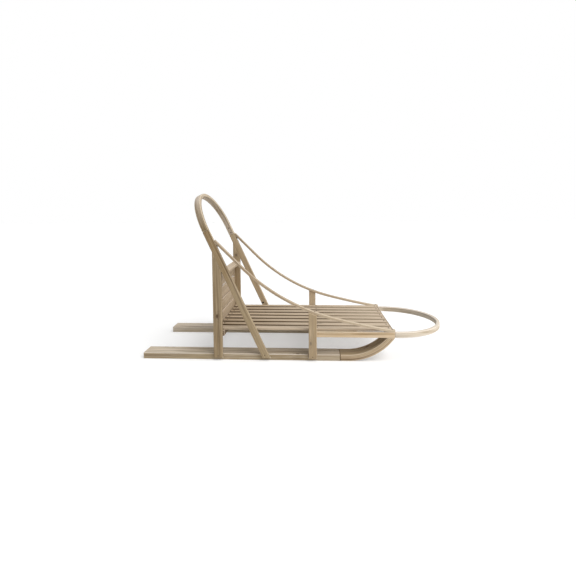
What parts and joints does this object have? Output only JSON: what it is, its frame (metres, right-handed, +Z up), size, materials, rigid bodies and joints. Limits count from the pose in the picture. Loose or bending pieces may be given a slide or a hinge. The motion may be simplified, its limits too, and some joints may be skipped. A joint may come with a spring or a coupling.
{
  "type": "decorative wooden dog sled",
  "caption": "Decorative dog sled of natural wood with bent-nose runners, slatted seat and back, curved hand rails, leaning handle hoop and a bent brush bow in front.",
  "frame": {"origin": "on the floor, in the middle of the bounding box's underside", "axes": "+X forward towards the brush bow, +Y to the sled's left, +Z up"},
  "size_m": [1.1999, 0.442, 0.6536],
  "materials": {
    "runner_wood": "matt weathered",
    "bent_wood": "matt weathered",
    "bow_wood": "matt bleached",
    "post_wood": "matt weathered",
    "slat_wood": "matt weathered"
  },
  "bodies": {
    "root": {"runner_board_left": "runner_wood", "runner_nose_left": "bent_wood", "rear_post_left": "post_wood", "front_post_left": "post_wood", "hoop_leg_left": "post_wood", "hand_rail_left": "bent_wood", "side_rail_left": "post_wood", "runner_board_right": "runner_wood", "runner_nose_right": "bent_wood", "rear_post_right": "post_wood", "front_post_right": "post_wood", "hoop_leg_right": "post_wood", "hand_rail_right": "bent_wood", "side_rail_right": "post_wood", "handle_hoop": "bent_wood", "brush_bow": "bow_wood", "bearer_rear": "slat_wood", "bearer_middle": "slat_wood", "bearer_front": "slat_wood", "seat_slat_1": "slat_wood", "seat_slat_2": "slat_wood", "seat_slat_3": "slat_wood", "seat_slat_4": "slat_wood", "seat_slat_5": "slat_wood", "seat_slat_6": "slat_wood", "seat_slat_7": "slat_wood", "seat_slat_8": "slat_wood", "back_slat_1": "slat_wood", "back_slat_2": "slat_wood", "back_slat_3": "slat_wood", "back_slat_4": "slat_wood", "back_rail": "slat_wood"}
  },
  "joints": []
}
